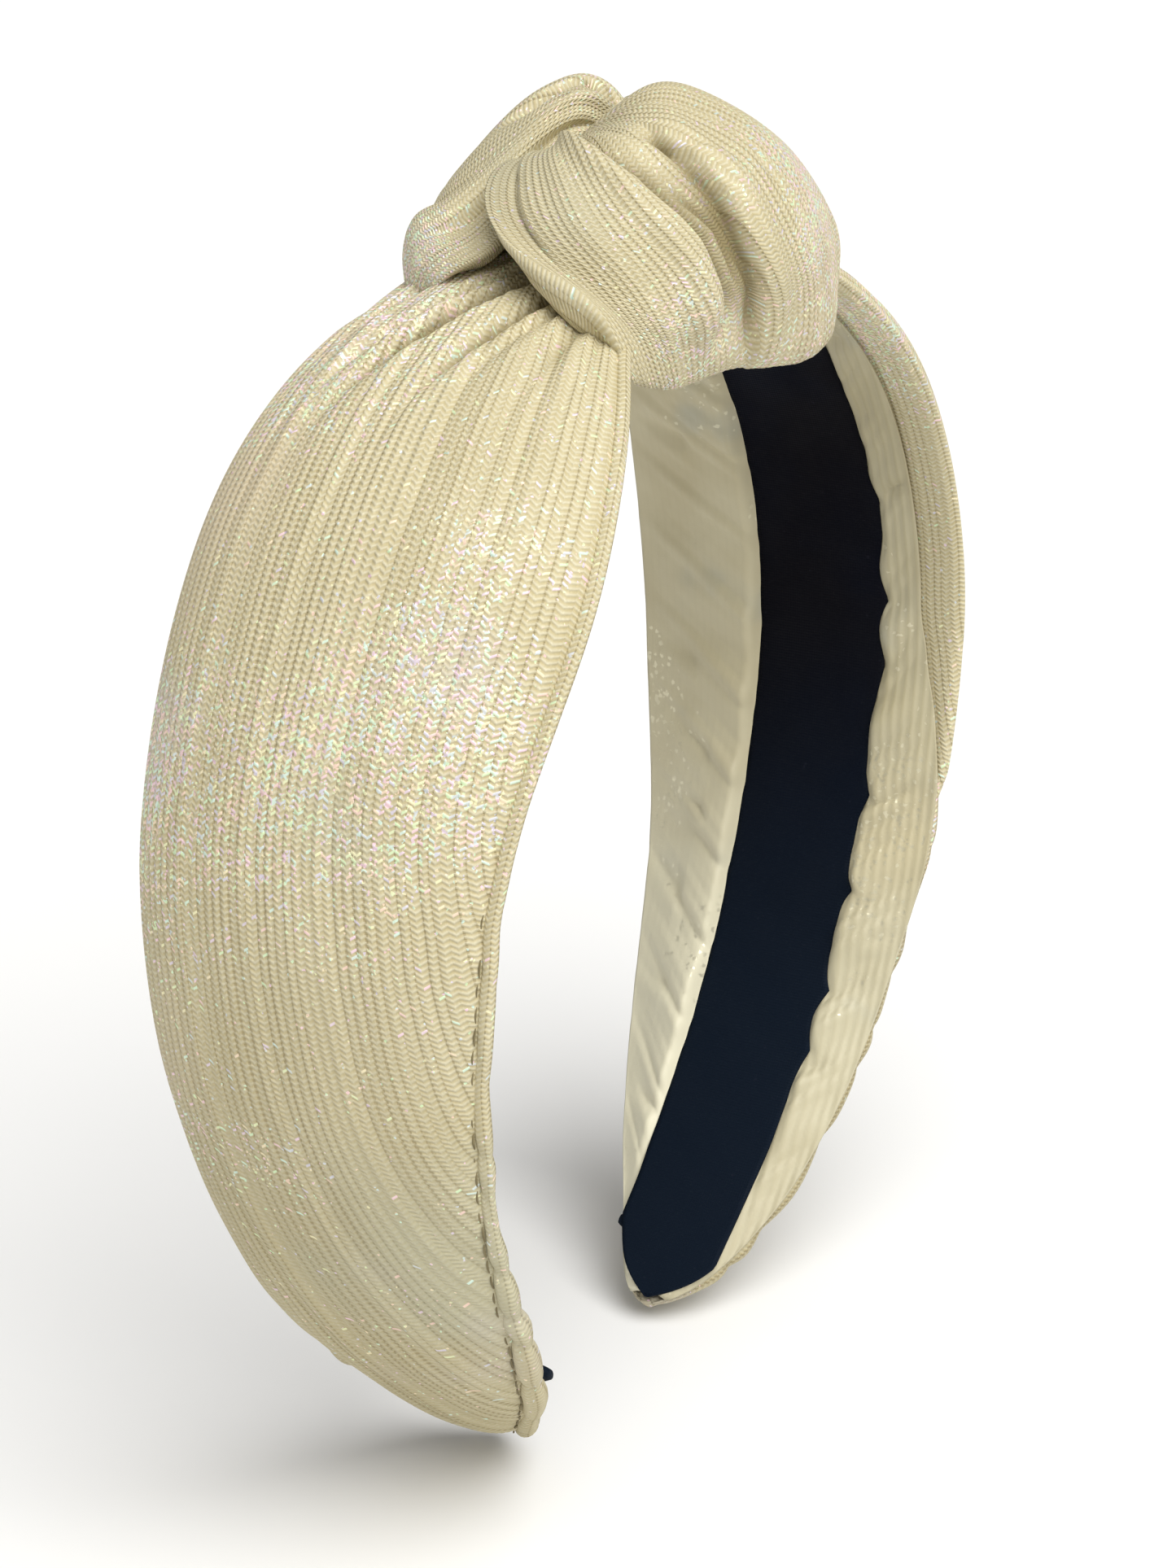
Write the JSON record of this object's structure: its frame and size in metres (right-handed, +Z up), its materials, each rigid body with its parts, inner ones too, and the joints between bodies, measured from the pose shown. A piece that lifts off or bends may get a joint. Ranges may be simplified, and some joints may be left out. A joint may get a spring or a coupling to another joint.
{
  "type": "knotted headband",
  "caption": "Wide padded fabric headband: a springy C-shaped hoop, ribbon-lined, with two pleated wings that meet in a twisted knot at the crown.",
  "frame": {"origin": "middle of the ribbon's inner face at the crown, where the band rests on the head", "axes": "+Z up out of the top of the head, +X to the wearer's left, -Y towards the face"},
  "size_m": [0.1442, 0.055, 0.1696],
  "materials": {
    "pleated_fabric": "fine lengthwise ribs with a pearl shimmer",
    "ribbon": "matt black satin ribbon",
    "thread": "matt sewing thread",
    "sponge": "open-cell foam",
    "adhesive": "cured glue film",
    "hoop_plastic": "matt moulded"
  },
  "bodies": {
    "crown": {"hoop_crown": "hoop_plastic", "lining_ribbon_crown": "ribbon", "adhesive_tape_crown": "adhesive", "knot_front_wrap": "pleated_fabric", "knot_rear_wrap": "pleated_fabric", "gathered_neck_left": "pleated_fabric", "gathered_neck_right": "pleated_fabric"},
    "left_arm": {"hoop_left": "hoop_plastic", "lining_ribbon_left": "ribbon", "adhesive_tape_left": "adhesive", "sponge_pad_left": "sponge", "outer_fabric_left": "pleated_fabric", "inner_fabric_left": "pleated_fabric", "front_hem_left": "pleated_fabric", "rear_hem_left": "pleated_fabric", "front_stitches_left": "thread", "rear_stitches_left": "thread", "ribbon_tip_left": "ribbon"},
    "right_arm": {"hoop_right": "hoop_plastic", "lining_ribbon_right": "ribbon", "adhesive_tape_right": "adhesive", "sponge_pad_right": "sponge", "outer_fabric_right": "pleated_fabric", "inner_fabric_right": "pleated_fabric", "front_hem_right": "pleated_fabric", "rear_hem_right": "pleated_fabric", "front_stitches_right": "thread", "rear_stitches_right": "thread", "ribbon_tip_right": "ribbon"}
  },
  "joints": [
    {"name": "left_flex", "type": "hinge", "parent": "crown", "child": "left_arm", "pos_m": [0.03225, 0, -0.00664], "axis": [0, -1, 0], "range_deg": [-4, 18], "stiffness_Nm_per_rad": 1},
    {"name": "right_flex", "type": "hinge", "parent": "crown", "child": "right_arm", "pos_m": [-0.03225, 0, -0.00664], "axis": [0, 1, 0], "range_deg": [-4, 18], "stiffness_Nm_per_rad": 1}
  ]
}
